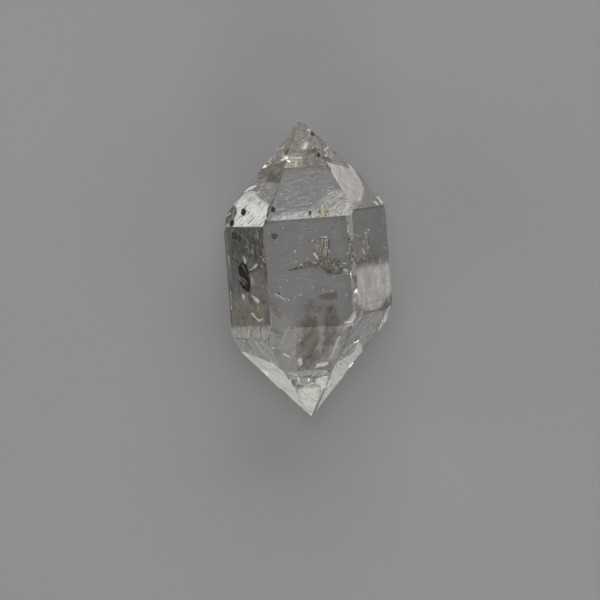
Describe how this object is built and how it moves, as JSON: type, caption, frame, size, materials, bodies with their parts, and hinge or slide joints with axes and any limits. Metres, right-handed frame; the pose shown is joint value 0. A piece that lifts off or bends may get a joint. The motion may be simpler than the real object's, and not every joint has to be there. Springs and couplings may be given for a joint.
{
  "type": "quartz crystal",
  "caption": "Clear double-ended quartz crystal, a stout six-sided prism with a six-sided point at each end, lying on one prism face.",
  "frame": {"origin": "on the ground below the middle of the crystal", "axes": "+Y along the crystal's long axis towards its larger, blunter point, +Z up out of the uppermost prism face, +X to the right as seen from above with +Y up"},
  "size_m": [0.0152, 0.0278, 0.0125],
  "materials": {
    "quartz": "natural growth faces, smooth and bright, with fine steps and pits"
  },
  "bodies": {
    "root": {"quartz_crystal": "quartz"}
  },
  "joints": []
}
